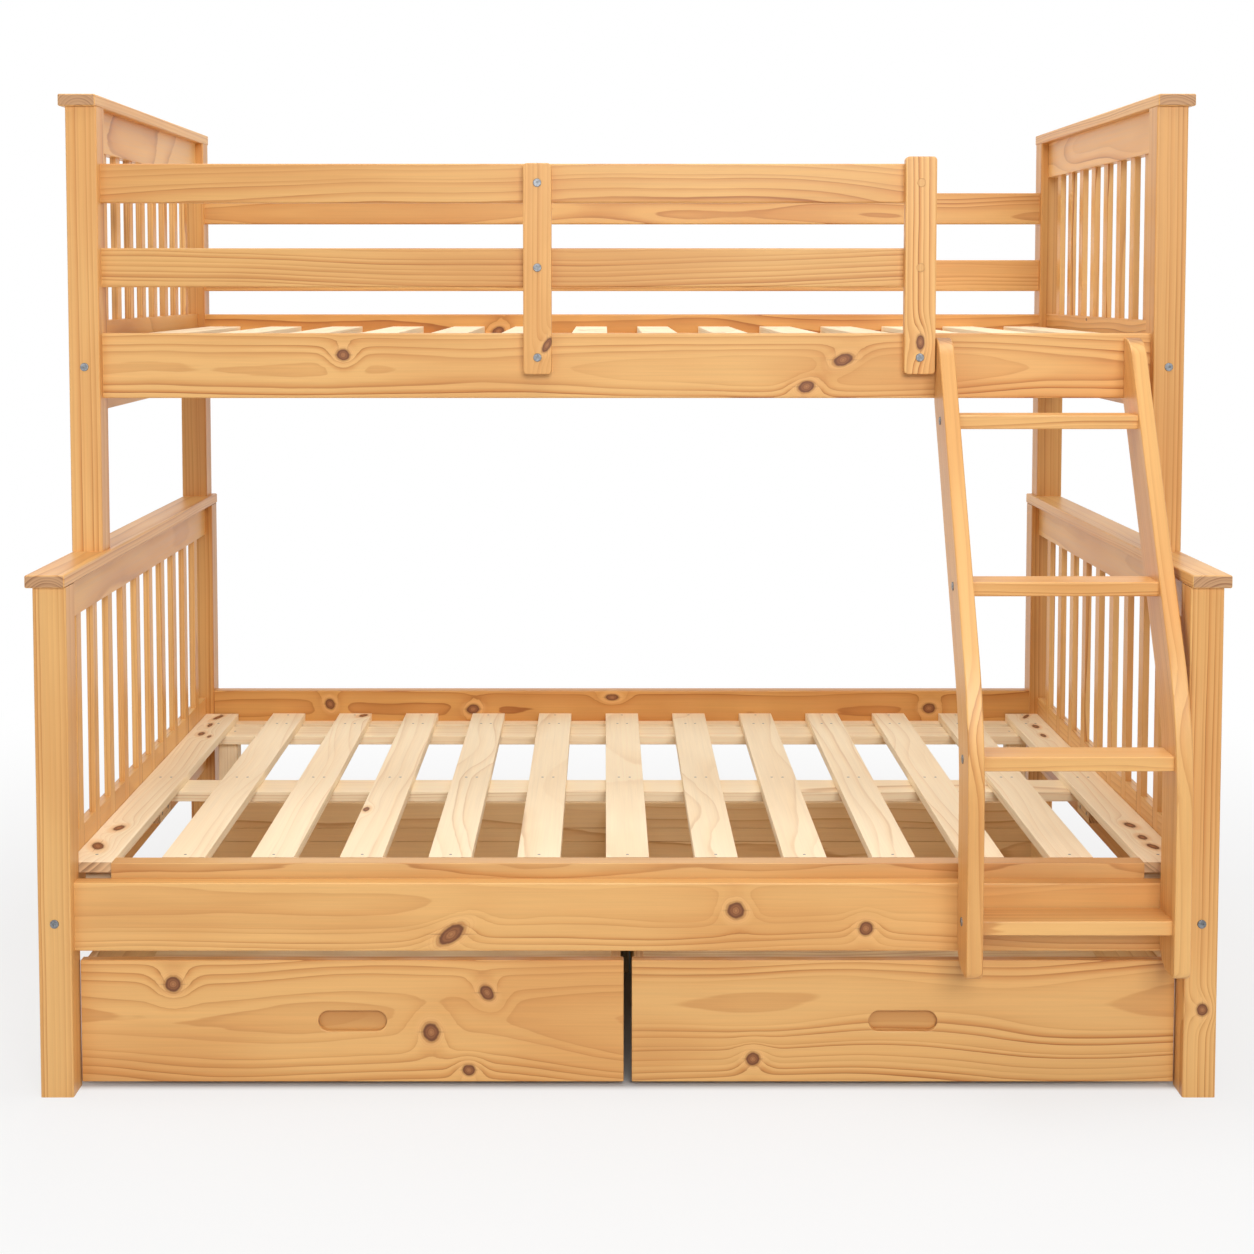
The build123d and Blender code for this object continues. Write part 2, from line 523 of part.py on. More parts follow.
def lower_deck():
    """Slats, with the batten, ledgers, beams, legs and cleats that carry them."""
    slats = lower_slat_boxes()
    under = LOWER_DECK - SLAT_T
    beam_low = under - BEAM_T
    end = -slats[0][1] - SLAT_GAP
    batten = block(-end, end, FRONT_RAIL_BACK, BATTEN_BACK, LOWER_DECK - BATTEN_H, LOWER_DECK, 2.0, Axis.X)
    save("deck_batten", drilled(batten))
    reach = INSIDE - 3
    ledgers = [block(-reach, reach, y, y + LEDGER_D, under - LEDGER_H, under)
               for y in (BATTEN_BACK, BACK_RAIL_FRONT - LEDGER_D)]
    save("lower_ledgers", [drilled(ledger) for ledger in ledgers])
    reach = LOWER_END_FACE - 1.5
    half = BEAM_W / 2
    beams = [block(-reach, reach, y - half, y + half, beam_low, under, 1.5, Axis.X)
             for y in (MIDDLE_BEAM_Y, REAR_BEAM_Y)]
    save("support_beams", [drilled(beam) for beam in beams])
    leg_y = DRAWER_BACK + STOP_GAP
    legs = [block(s * LEG_IN, s * (LEG_IN + LEG), leg_y, leg_y + LEG, 0, beam_low, 2.0, Axis.Z)
            for s in (-1, 1)]
    wide, deep = CENTRE_LEG_T / 2, CENTRE_LEG_D / 2
    legs.append(block(-wide, wide, MIDDLE_BEAM_Y - deep, MIDDLE_BEAM_Y + deep, 0, beam_low, 2.0, Axis.Z))
    save("beam_legs", [drilled(leg) for leg in legs])
    depth = (MIDDLE_BEAM_Y - half, MIDDLE_BEAM_Y + half)
    cleats = [block(s * (LOWER_END_FACE - CLEAT_D), s * LOWER_END_FACE, *depth, beam_low - CLEAT_H, beam_low)
              for s in (-1, 1)]
    save("beam_cleats", [drilled(cleat) for cleat in cleats])
    save("lower_slats", [drilled(block(*box, under, LOWER_DECK, 1.5, Axis.Y)) for box in slats])


def upper_bed():
    cap_low = UPPER_TOP - CAP_T
    front, back = UPPER_SET, LOWER_DEPTH
    inner_y = (front + POST, back - POST)
    inside = UPPER_HALF - POST
    for s, side in ((-1, "left"), (1, "right")):
        for y, end in ((front, "front"), (back - POST, "back")):
            post = block(s * UPPER_HALF, s * inside, y, y + POST, LOWER_TOP, cap_low, ROUND, Axis.Z)
            save(f"upper_{end}_{side}_post", drilled(post))
        ends = (front - CAP_END, back + CAP_END)
        cap = block(s * (UPPER_HALF + CAP_SIDE), s * inside, *ends, cap_low, UPPER_TOP, ROUND)
        save(f"upper_{side}_cap", drilled(cap))
    boards, rails, spindles = [], [], []
    board_low = cap_low - UPPER_BOARD_H
    g = HOUSING_GAP
    foot, head = UPPER_END_RAIL[1] - SPINDLE_HOUSED, board_low + SPINDLE_HOUSED
    a, b = UPPER_MID_X - SPINDLE_T / 2, UPPER_MID_X + SPINDLE_T / 2
    for s in (-1, 1):
        near_x, far_x = s * UPPER_END_FACE, s * (UPPER_END_FACE + BOARD_T)
        board = block(near_x, far_x, *inner_y, board_low, cap_low)
        rail = block(near_x, far_x, *inner_y, *UPPER_END_RAIL)
        for y0 in spindle_places(UPPER_SPINDLES, *inner_y):
            y1 = y0 + SPINDLE_W
            spindles.append(block(s * a, s * b, y0, y1, foot, head, 1.5, Axis.Z).solid())
            board -= block(s * (a - g), s * (b + g), y0 - g, y1 + g, board_low - 1, head)
            rail -= block(s * (a - g), s * (b + g), y0 - g, y1 + g, foot, UPPER_END_RAIL[1] + 1)
        boards.append(drilled(board))
        rails.append(drilled(rail))
    save("upper_top_boards", boards)
    save("upper_end_rails", rails)
    save("upper_spindles", spindles)
    upper_sides(inside)
    upper_deck(inside)


def upper_sides(inside):
    """Side rails, guard rails and the braces across the front ones."""
    face, rail_back = UPPER_RAIL_FACE, LOWER_DEPTH - RAIL_SET
    z = UPPER_FRONT_RAIL_Z
    rail = block(-inside, inside, face, UPPER_RAIL_BACK, z, z + RAIL_H, ROUND, Axis.X)
    save("upper_front_side_rail", drilled(rail))
    z = UPPER_BACK_RAIL_Z
    rail = block(-inside, inside, BACK_RAIL_FRONT, rail_back, z, z + RAIL_H, ROUND, Axis.X)
    save("upper_back_side_rail", drilled(rail))
    guards = [block(-inside, GUARD_END, face, face + GUARD_T, z, z + GUARD_H, ROUND, Axis.X)
              for z in FRONT_GUARD_Z]
    save("front_guard_rails", [drilled(guard) for guard in guards])
    guards = [block(-inside, inside, rail_back - GUARD_T, rail_back, z, z + GUARD_H, ROUND, Axis.X)
              for z in BACK_GUARD_Z]
    save("back_guard_rails", [drilled(guard) for guard in guards])
    for name, left, width, top in (("middle_brace", MIDDLE_BRACE_X, MIDDLE_BRACE_W, MIDDLE_BRACE_TOP),
                                   ("end_brace", END_BRACE_X, END_BRACE_W, END_BRACE_TOP)):
        brace = block(left, left + width, face - BRACE_T, face, BRACE_LOW, top, BRACE_CORNER, Axis.Y)
        brace = fillet(brace.faces().filter_by(Axis.Y).sort_by(Axis.Y)[0].edges(), 2.0)
        save(name, drilled(brace))


def upper_deck(inside):
    under = UPPER_DECK - SLAT_T
    reach = inside - 4
    ledgers = [block(-reach, reach, y, y + LEDGER_D, under - LEDGER_H, under)
               for y in (UPPER_RAIL_BACK, BACK_RAIL_FRONT - LEDGER_D)]
    save("upper_ledgers", [drilled(ledger) for ledger in ledgers])
    save("upper_slats", [drilled(block(*box, under, UPPER_DECK, 1.5, Axis.Y)) for box in upper_slat_boxes()])


def ladder():
    for x, side in zip(LADDER_X, ("left", "right")):
        save(f"ladder_{side}_board", drilled(ladder_board(x)))
    rungs = []
    for top in RUNG_TOPS:
        y = rung_front(top)
        rung = block(LADDER_X[0] + SIDE_T, LADDER_X[1], y, y + RUNG_D, top - RUNG_T, top, 2.5, Axis.X)
        rungs.append(drilled(rung))
    save("ladder_rungs", rungs)


def wheel(x, y):
    """A castor wheel with its own stubs, turning about X."""
    turn = Pos(x, y + DEPTH_SHIFT, WHEEL_R) * Rot(0, 90, 0)
    tyre = fillet(Cylinder(WHEEL_R, WHEEL_W).edges(), 3.0)
    dish = Cylinder(WHEEL_R - 6, 3.0) - Cylinder(7.0, 3.0)
    for end in (-1, 1):
        tyre -= Pos(0, 0, end * (WHEEL_W / 2 - 1.5)) * dish
    stub = Cylinder(STUB_R, WHEEL_W + 2 * (WHEEL_GAP + FORK_WALL))
    return (turn * (tyre + stub)).solid()


def fork(x, y):
    """A castor fork: a plate under the drawer bottom, two walls and two pegs."""
    top = WALL_Z[0] + BOTTOM_LIFT
    plate = block(x - 24, x + 24, y - 20, y + 20, top - FORK_PLATE, top, 2.0, Axis.Z)
    half = WHEEL_W / 2 + WHEEL_GAP
    for s in (-1, 1):
        a, b = sorted((x + s * half, x + s * (half + FORK_WALL)))
        plate += block(a, b, y - 12, y + 12, WHEEL_R, top - FORK_PLATE)
        plate += rod(a, y, WHEEL_R, (1, 0, 0), 24.0, FORK_WALL)
        plate += rod(x + s * 18, y, top, (0, 0, 1), 8.0, 7.0)
    bore = rod(x - 30, y, WHEEL_R, (1, 0, 0), 2 * (STUB_R + BORE_GAP), 60)
    return (plate - bore).solid()


def drawer(s, name):
    x0, x1 = sorted((s * FRONT_X[0], s * FRONT_X[1]))
    y0, y1 = FRONT_SET, FRONT_SET + FRONT_T
    front = block(x0, x1, y0, y1, *FRONT_Z, 2.0)
    middle, height = (x0 + x1) / 2, sum(FRONT_Z) / 2
    slot = Plane(origin=(middle, y0 + DEPTH_SHIFT, height), x_dir=(1, 0, 0), z_dir=(0, 1, 0))
    front -= extrude(slot * SlotOverall(PULL_L, PULL_H), PULL_DEPTH)
    rim = []
    for edge in front.edges():
        at = edge.center()
        on_face = abs(at.Y - y0 - DEPTH_SHIFT) < 0.01
        if on_face and abs(at.X - middle) < PULL_L / 2 + 1 and abs(at.Z - height) < PULL_H / 2 + 1:
            rim.append(edge)
    front = fillet(rim, PULL_ROUND)

    box0, box1 = x0 + BOX_IN, x1 - BOX_IN
    groove, housed = 6.0, 8.0
    floor = WALL_Z[0] + BOTTOM_LIFT
    sides = []
    for a in (box0, box1 - WALL_T):
        sides.append(block(a, a + WALL_T, y1 - housed, DRAWER_BACK, *WALL_Z, 1.5, Axis.Y))
        slot_x = (a - HOUSING_GAP, a + WALL_T + HOUSING_GAP)
        front -= block(*slot_x, y1 - housed, y1 + 1, WALL_Z[0], WALL_Z[1] + 0.2)
    face, lapped = DRAWER_BACK - WALL_T, (box0 + WALL_T - 5, box1 - WALL_T + 5)
    back = block(*lapped, face, DRAWER_BACK, *WALL_Z, 1.5, Axis.X)
    for drop in SEAM_DROPS:
        z = WALL_Z[1] - drop
        back -= block(box0, box1, face - 1, face + 2, z - 1, z + 1)
    rebate = block(*lapped, face, DRAWER_BACK + 1, WALL_Z[0] - 1, WALL_Z[1] + 1)
    panel = (box0 + WALL_T - groove, box1 - WALL_T + groove, y1 - groove, face + groove)
    slit = block(*panel, floor, floor + BOTTOM_T + HOUSING_GAP)
    bottom = block(*panel, floor, floor + BOTTOM_T)
    forks, wheels = [], []
    for y in WHEEL_Y:
        for x in (box0 + WHEEL_INSET, box1 - WHEEL_INSET):
            forks.append(fork(x, y))
            wheels.append(wheel(x, y))
            for peg in (-18, 18):
                bottom -= rod(x + peg, y, floor - 1, (0, 0, 1), 8.0 + 2 * HOLE_GAP, 8.5)
    save(f"{name}_drawer_front", (front - slit).solid())
    save(f"{name}_drawer_sides", [(side - slit - rebate).solid() for side in sides])
    save(f"{name}_drawer_back", (back - slit).solid())
    save(f"{name}_drawer_bottom", bottom.solid())
    save(f"{name}_drawer_forks", forks)
    save(f"{name}_drawer_front_wheels", wheels[:2])
    save(f"{name}_drawer_rear_wheels", wheels[2:])


def main():
    os.makedirs("parts", exist_ok=True)
    bolts, nuts, dowels, pins = lower_fixings()
    more_bolts, more_nuts, more_dowels = upper_fixings()
    brace_bolts, plugs = brace_fixings()
    ladder_bolts, rung_dowels = ladder_fixings()
    save("frame_bolts", bolts + more_bolts)
    save("barrel_nuts", [drilled(nut, bolt_drills) for nut in nuts + more_nuts])
    save("wood_dowels", dowels + more_dowels + rung_dowels)
    save("post_pins", pins)
    save("brace_bolts", brace_bolts)
    save("brace_plugs", plugs)
    save("ladder_bolts", ladder_bolts)
    save("slat_nails", nails())
    save("ledger_screws", screws())
    lower_bed()
    upper_bed()
    ladder()
    drawer(-1, "left")
    drawer(1, "right")


main()
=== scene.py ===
"""The finish, light and view of a pine bunk bed: honey lacquer on the frame, bare pine on the slats.

Metres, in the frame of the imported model: +X along the bed, -Y towards the ladder, +Z up.
Every board has its own solid growth rings, so that face, edge and end grain agree.
"""
from collections import namedtuple
from math import radians, tan

import bpy
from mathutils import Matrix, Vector


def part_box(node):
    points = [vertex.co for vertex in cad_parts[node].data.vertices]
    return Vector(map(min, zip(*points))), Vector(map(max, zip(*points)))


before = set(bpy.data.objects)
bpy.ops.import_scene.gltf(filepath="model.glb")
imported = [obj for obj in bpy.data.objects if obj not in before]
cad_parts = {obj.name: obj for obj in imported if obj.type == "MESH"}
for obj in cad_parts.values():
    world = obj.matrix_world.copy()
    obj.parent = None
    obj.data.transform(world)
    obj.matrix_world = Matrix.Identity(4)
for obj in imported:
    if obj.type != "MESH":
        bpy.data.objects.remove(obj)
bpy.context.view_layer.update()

# Camera, fitted to the photograph
LENS = 55.72
SENSOR = 36.0
CAMERA = Vector((-0.0405, -3.8926, 1.4023))
CAMERA_DOWN = 3.43             # degrees below level
SHIFT = (0.0179, -0.18)
SIGHT = 100.0                  # how far the camera sees

# Lights: name, place, target, size, power in watts, and whether the lacquer mirrors it
LIGHTS = (
    ("key", (0.9, -5.5, 3.2), (0.0, 0.0, 0.6), (3.0, 2.0), 190.0, True),
    ("fill", (-3.2, -4.2, 1.4), (0.0, 0.0, 0.5), (2.4, 2.4), 22.0, True),
    ("top", (0.0, -0.4, 4.6), (0.0, -0.3, 0.0), (3.4, 2.6), 115.0, True),
    ("behind", (-1.2, 5.4, 2.0), (0.0, 0.0, 0.8), (3.2, 2.2), 95.0, False),
    ("left", (-5.4, 0.8, 1.8), (0.0, 0.0, 0.8), (2.6, 2.2), 55.0, False),
    ("right", (5.4, 0.8, 1.8), (0.0, 0.0, 0.8), (2.6, 2.2), 60.0, False),
)
SKY_LIGHT = 0.24               # of the white world, where it only lights the bed

# Floor
FLOOR_HALF = 30.0
FLOOR_GREY = 0.68
SHADOW_OVAL = (0.55, 0.8, 0.0)    # scales the floor to the round patch that keeps the bed's shadow
SHADOW_FADE = (0.6, 2.2)          # radii of that patch, where its edge starts and ends
SHADOW_GLOW = 0.72                # share of plain white in the patch
UNDER_X = (0.97, 1.03)            # no plain white under the drawers and the front of the bed: its edges
UNDER_FRONT = (-0.59, -0.56)
UNDER_BACK = (0.38, 0.44)

# Colours, as the eye sees them under plain light, but for the painted shade of the finger pulls
WHITE = (1.0, 1.0, 1.0, 1.0)
PLAIN = (1.0, 1.0, 1.0)
LACQUER_PALE = (0.900, 0.700, 0.435)
LACQUER_DEEP = (0.770, 0.490, 0.225)
LACQUER_LINE = (0.560, 0.315, 0.130)
LACQUER_END = (0.730, 0.560, 0.410)
BARE_PALE = (1.000, 0.930, 0.800)
BARE_DEEP = (0.935, 0.805, 0.630)
BARE_LINE = (0.720, 0.530, 0.350)
BARE_END = (0.840, 0.700, 0.530)
END_RING = (0.520, 0.355, 0.240)
KNOT_CORE = (0.680, 0.455, 0.275)
KNOT_HEART = (0.540, 0.325, 0.185)
KNOT_RIM = (0.370, 0.195, 0.095)
HALO = (0.930, 0.735, 0.480)
# painted shade inside the drawer fronts' finger pulls
PULL_SHADE_COLOUR = (0.730, 0.505, 0.270)
STEEL = (0.560, 0.570, 0.580)
STEEL_DULL = (0.430, 0.440, 0.455)
WHEEL_GREY = (0.110, 0.110, 0.115)
FORK_GREY = (0.300, 0.305, 0.310)

# Tints over the pine; the back and guard tints are painted shade
BACK_SHADE_TINT = (0.83, 0.73, 0.59)    # painted shade: the back posts and back side rails are darkened where the upper bed shades them
GUARD_SHADE_TINT = (0.91, 0.89, 0.85)   # painted shade: the guards are darkened a little below the rails for the weaker light that falls on them up high
BATTEN_TINT = (0.90, 0.93, 1.0)   # the deck batten is less yellow
BOX_TINT = (0.95, 0.86, 0.73)     # drawer boxes are a browner bare pine
PLY_TINT = (0.90, 0.86, 0.80)

# Finishes: three colours of the rings, colour of a cut end, roughness, gloss, and depth of the relief
Finish = namedtuple("Finish", "pale deep line end rough gloss relief")
LACQUER = Finish(LACQUER_PALE, LACQUER_DEEP, LACQUER_LINE, LACQUER_END, 0.36, 0.42, 0.10)
BARE = Finish(BARE_PALE, BARE_DEEP, BARE_LINE, BARE_END, 0.58, 0.25, 0.2)

# Boards
LADDER_BEND = 0.6437           # height where the ladder leans back
BEND_LENGTH = 0.1              # and how softly the grain follows it
LADDER_LEAN = radians(27.65)
FAR_OUT = 10.0                 # past the end of every board
BOTH_ENDS = ("X", -FAR_OUT, FAR_OUT)   # cells that part the left boards from the right ones
SEED_STEP = (1.37, 0.71, 2.13)         # keeps the random numbers of two nodes apart
PULL_REACH = (0.063, 0.021)    # half the pull's width and height, with its rim
PULL_SHADE = (0.002, 0.009)    # depths from the face where the pull's painted shade starts and is full
PULL_SHADE_EDGES = (0.30, 0.95)      # share of that painted shade at the pull's lower and upper edge: more at the top, where the lip shades it

# Steel and plastic
STEEL_ROUGH = (0.28, 0.46)
STEEL_METALLIC = 0.85
PLASTIC_ROUGH = (0.42, 0.58)
WORN_FADE = (0.35, 0.75, 0.6)
GRIT_DEPTH = 0.0001

# Noise: where most of its values lie
NOISE_BAND = (0.3, 0.7)
FIBRE_BAND = (0.35, 0.65)

# Growth rings. A stretch is how fast a noise changes along the grain, across it and into the board
RING = 0.0062                  # width of one ring
BOARD_SHIFT = 23.0             # boards come from places this far apart
WANDER_STRETCH = (1.5, 3.0, 3.0)
WAVER_STRETCH = (7.0, 45.0, 45.0)
WAVER = 0.0022
CROWDING = (0.55, 1.6)         # rings crowd and spread: how often, and by how many rings
YEAR_SHIFT = 91.0              # years that part one board's random rings from another's
FAINTEST = 0.25                # strength of the faintest ring
PATCH_STRETCH = (2.2, 14.0, 14.0)
PATCH_FAINT = 0.55             # strength left where a patch of rings fades
LATE_WOOD = (0.12, 0.95)       # part of a ring over which it darkens, before it ends sharply
LATE_CURVE = 1.5
THIN_LINE = (0.78, 0.94)       # part of a ring over which its thin dark line comes in
FIBRE_STRETCH = (9.0, 1100.0, 1100.0)
STREAK_STRETCH = (3.0, 170.0, 170.0)
TONE_STRETCH = (1.7, 7.0, 7.0)
PITH_SPREAD = (0.0, 0.07, 0.05)        # how far the rings' middle differs between the boards of a node

# Pine's colours. Shares are of the deeper colour
BLOTCH = (0.42, 0.68)          # cloudy tone where the deeper colour starts and is full
BLOTCH_SHARE = 0.34
RING_SHARE = 0.95
LINE_SHARE = 0.75
FIBRE_LIGHT = (0.945, 1.04)    # how the fibres darken and lighten the pine
BOARD_LIGHT = (0.955, 1.03)    # and how one board differs from the next
CUT_FACING = (0.75, 0.95)      # how squarely a face looks along the grain, before it is a cut end
CUT_SHARE = 0.9
CUT_RINGS = 1.3
CUT_ROUGH = 0.15
SHEEN_CHANGE = (-0.05, 0.09)   # how the fibres change the roughness
FIBRE_RELIEF = 0.6             # fibres stand up, and the thin lines sink
LINE_RELIEF = -0.4
RELIEF_DEPTH = 0.0006

# Knots. Distances are in knot radii from the middle: where a shade starts, where it is full, and its share
NO_KNOT = 50.0
KNOT_PUSH = 2.2                # how many rings a knot pushes aside
PUSH_FALL = -0.16
KNOT_ROUGH = (90.0, 0.35)      # its uneven edge: how fine, and how deep
WHISKER_SHAPE = (0.42, 5.0, 1.0)
HALO_FADE = (2.6, 1.5, 0.45)
RIPPLES = 3.1                  # faint rings round the knot, for each radius
RIPPLE_FADE = (0.5, 1.0, 0.35)
RIPPLE_REACH = (2.4, 1.2)
EDGE_FADE = (1.55, 1.0, 0.55)
WHISKER_FADE = (1.0, 0.2, 0.55)
KNOT_TURNS = 3.6               # rings in the knot, for each radius
TURN_FADE = (0.2, 0.9, 0.4)
CORE_FADE = (0.15, 0.6)
RIM_FADE = (0.68, 0.92, 0.85)
KNOT_FADE = (1.16, 0.90, 0.95)

# Small strewn knots
SPECK_SHIFT = 7.0
SPECK_CELLS = (9.0, 20.0, 3.0)
SPECK_SIZES = (0.05, 0.13)     # radii, as parts of a cell
SPECK_STRETCH = (70.0, 110.0, 70.0)
SPECK_ROUGH = 0.8

# Knots that the photograph shows: along, across, half length, half height, slant in degrees
KNOTS = {
    "upper_front_side_rail": ((-0.524, 1.273, 0.011, 0.010, 0), (0.401, 1.264, 0.017, 0.010, 20),
                              (0.333, 1.214, 0.014, 0.010, 15)),
    "lower_front_side_rail": ((-0.306, 0.280, 0.024, 0.012, 35), (0.187, 0.322, 0.013, 0.014, 70),
                              (0.412, 0.290, 0.011, 0.011, 0)),
    "left_drawer_front": ((-0.794, 0.183, 0.013, 0.013, 0), (-0.246, 0.168, 0.013, 0.010, -50),
                          (-0.344, 0.098, 0.013, 0.015, 0), (-0.278, 0.030, 0.010, 0.009, 0)),
    "right_drawer_front": ((0.219, 0.050, 0.011, 0.011, 0),),
    "lower_front_right_post": ((0.155, 0.990, 0.010, 0.009, 0),),
    "middle_brace": ((1.292, -0.146, 0.014, 0.006, 30),),
    "end_brace": ((1.297, 0.540, 0.013, 0.007, 0),),
    "lower_back_side_rail": ((-0.686, 0.418, 0.010, 0.012, 30), (-0.350, 0.406, 0.014, 0.010, 10),
                             (-0.023, 0.434, 0.014, 0.007, 0), (0.723, 0.408, 0.014, 0.011, 0)),
    "upper_back_side_rail": ((-0.288, 1.295, 0.014, 0.009, 20),),
    "lower_slats": ((0.580, -0.941, 0.022, 0.0060, 15), (0.500, -0.944, 0.016, 0.0045, 0),
                    (0.414, -0.946, 0.015, 0.0065, 0), (0.388, -0.923, 0.010, 0.0040, 0),
                    (-0.343, -0.942, 0.016, 0.0085, 10), (-0.459, -0.951, 0.022, 0.0095, -20),
                    (0.589, 0.944, 0.020, 0.0045, 25), (0.487, 0.944, 0.015, 0.0070, 0),
                    (0.398, 0.941, 0.014, 0.0055, 0), (-0.324, 0.940, 0.016, 0.0085, -10),
                    (-0.404, 0.941, 0.014, 0.0075, 0), (-0.462, 0.944, 0.016, 0.0080, -15),
                    (-0.214, -0.4985, 0.014, 0.0055, 0), (0.600, -0.605, 0.014, 0.0080, 20)),
}

SLATS = {"lower": 13, "upper": 14}
SPINDLES = {"lower": 10, "upper": 8}
RUNGS = 4
FIXINGS = ("frame_bolts", "barrel_nuts", "brace_bolts", "ladder_bolts", "slat_nails", "ledger_screws",
           "post_pins")
SEEDS = {name: 1.0 + k for k, name in enumerate(sorted(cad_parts))}
AXES = {"X": 0, "Y": 1, "Z": 2}


def linear(colour):
    """A screen colour as the light values that a shader takes."""
    def one(c):
        return c / 12.92 if c <= 0.04045 else ((c + 0.055) / 1.055) ** 2.4
    return tuple(one(c) for c in colour) + (1.0,)


class Net:
    """Adds shader nodes to a tree and wires them."""

    def __init__(self, tree):
        self.tree = tree

    def put(self, socket, value):
        """Wire another node's output to a socket, or give it a fixed value."""
        if isinstance(value, bpy.types.NodeSocket):
            self.tree.links.new(value, socket)
        else:
            socket.default_value = value

    def add(self, kind, inputs=(), **settings):
        node = self.tree.nodes.new("ShaderNode" + kind)
        for name, value in settings.items():
            setattr(node, name, value)
        for name, value in dict(inputs).items():
            self.put(node.inputs[name], value)
        return node

    def math(self, operation, *values, clamp=False):
        node = self.add("Math", operation=operation, use_clamp=clamp)
        for k, value in enumerate(values):
            self.put(node.inputs[k], value)
        return node.outputs[0]

    def vector(self, operation, *values):
        node = self.add("VectorMath", operation=operation)
        for k, value in enumerate(values):
            self.put(node.inputs["Scale" if operation == "SCALE" and k == 1 else k], value)
        return node.outputs["Value" if operation in ("LENGTH", "DOT_PRODUCT") else "Vector"]

    def split(self, vector):
        return tuple(self.add("SeparateXYZ", {0: vector}).outputs)

    def join(self, x, y, z):
        return self.add("CombineXYZ", {0: x, 1: y, 2: z}).outputs[0]

    def span(self, value, low, high, start=0.0, end=1.0, smooth=True):
        """The value's place between low and high, carried to start and end, held at both."""
        kind = "SMOOTHSTEP" if smooth else "LINEAR"
        node = self.add("MapRange", {"Value": value, "From Min": low, "From Max": high, "To Min": start,
                                     "To Max": end}, interpolation_type=kind)
        return node.outputs[0]

    def fade(self, value, low, high, share):
        """Nothing at low, and the share at high."""
        return self.span(value, low, high, 0.0, share)

    def noise(self, place, stretch, detail=2.0, rough=0.5):
        """Noise over a place that is first scaled along each axis."""
        scaled = self.vector("MULTIPLY", place, stretch)
        return self.add("TexNoise", {"Vector": scaled, "Scale": 1.0, "Detail": detail, "Roughness": rough})

    def blend(self, amount, a, b, mode="MIX"):
        node = self.add("Mix", data_type="RGBA", blend_type=mode)
        self.put(node.inputs["Factor"], amount)
        self.put(node.inputs[6], a)
        self.put(node.inputs[7], b)
        return node.outputs[2]

    def seen(self):
        """One where a surface is looked at, straight or in gloss, and nothing where it only gives light."""
        path = self.add("LightPath").outputs
        mirrored = self.math("MAXIMUM", path["Is Glossy Ray"], path["Is Transmission Ray"])
        return self.math("MAXIMUM", path["Is Camera Ray"], mirrored)


def new_group(name, takes, gives):
    """A group of nodes, its net, and its inner ends."""
    group = bpy.data.node_groups.new(name, "ShaderNodeTree")
    for direction, sockets in (("INPUT", takes), ("OUTPUT", gives)):
        for socket, kind in sockets:
            group.interface.new_socket(socket, in_out=direction, socket_type="NodeSocket" + kind)
    start = group.nodes.new("NodeGroupInput").outputs
    end = group.nodes.new("NodeGroupOutput").inputs
    return group, Net(group), start, end


def ring_group():
    """Growth rings of a board. Place runs along the grain, across the face, and into the board."""
    group, net, start, end = new_group(
        "growth_rings",
        [("Place", "Vector"), ("Chance", "Vector"), ("Pith", "Vector"), ("Width", "Float"),
         ("Wander", "Float"), ("Push", "Float")],
        [("Ring", "Float"), ("Line", "Float"), ("Fibre", "Float"), ("Tone", "Float")])
    place = net.vector("ADD", start["Place"], net.vector("SCALE", start["Chance"], BOARD_SHIFT))

    # How far a point is from the pith, in rings
    wander = net.noise(place, WANDER_STRETCH, 1.0).outputs["Color"]
    drift = net.vector("SCALE", net.vector("SUBTRACT", wander, (0.5, 0.5, 0.5)), start["Wander"])
    away = net.vector("SUBTRACT", net.vector("ADD", start["Place"], drift), start["Pith"])
    flat = net.vector("MULTIPLY", away, (0.0, 1.0, 1.0))
    radius = net.math("ADD", net.vector("LENGTH", flat), start["Push"])
    waver = net.math("SUBTRACT", net.noise(place, WAVER_STRETCH).outputs[0], 0.5)
    radius = net.math("ADD", radius, net.math("MULTIPLY", waver, WAVER))
    years = net.math("DIVIDE", radius, start["Width"])
    slow = net.add("TexNoise", {"W": net.math("MULTIPLY", years, CROWDING[0]), "Scale": 1.0, "Detail": 1.0},
                   noise_dimensions="1D").outputs[0]
    years = net.math("ADD", years, net.math("MULTIPLY", slow, CROWDING[1]))

    # Each ring's own strength
    shift = net.math("MULTIPLY", net.split(start["Chance"])[0], YEAR_SHIFT)
    year = net.math("ADD", net.math("FLOOR", years), shift)
    own = net.add("TexWhiteNoise", {"W": year}, noise_dimensions="1D").outputs[0]
    strength = net.span(own, 0.0, 1.0, FAINTEST, 1.0, False)
    patch = net.span(net.noise(place, PATCH_STRETCH).outputs[0], *NOISE_BAND, PATCH_FAINT, 1.0)
    strength = net.math("MULTIPLY", strength, patch)

    part = net.math("FRACT", years)
    late = net.math("MULTIPLY", net.math("POWER", net.span(part, *LATE_WOOD), LATE_CURVE),
                    net.span(part, LATE_WOOD[1], 1.0, 1.0, 0.0))
    line = net.math("MULTIPLY", net.span(part, *THIN_LINE), net.span(part, THIN_LINE[1], 1.0, 1.0, 0.0))
    fine = net.noise(place, FIBRE_STRETCH, rough=0.6).outputs[0]
    streak = net.noise(place, STREAK_STRETCH, rough=0.6).outputs[0]
    net.put(end["Ring"], net.math("MULTIPLY", late, strength))
    net.put(end["Line"], net.math("MULTIPLY", line, net.math("POWER", strength, 2.0)))
    net.put(end["Fibre"], net.math("ADD", net.math("MULTIPLY", fine, 0.5),
                                   net.math("MULTIPLY", streak, 0.5)))
    net.put(end["Tone"], net.noise(place, TONE_STRETCH).outputs[0])
    return group


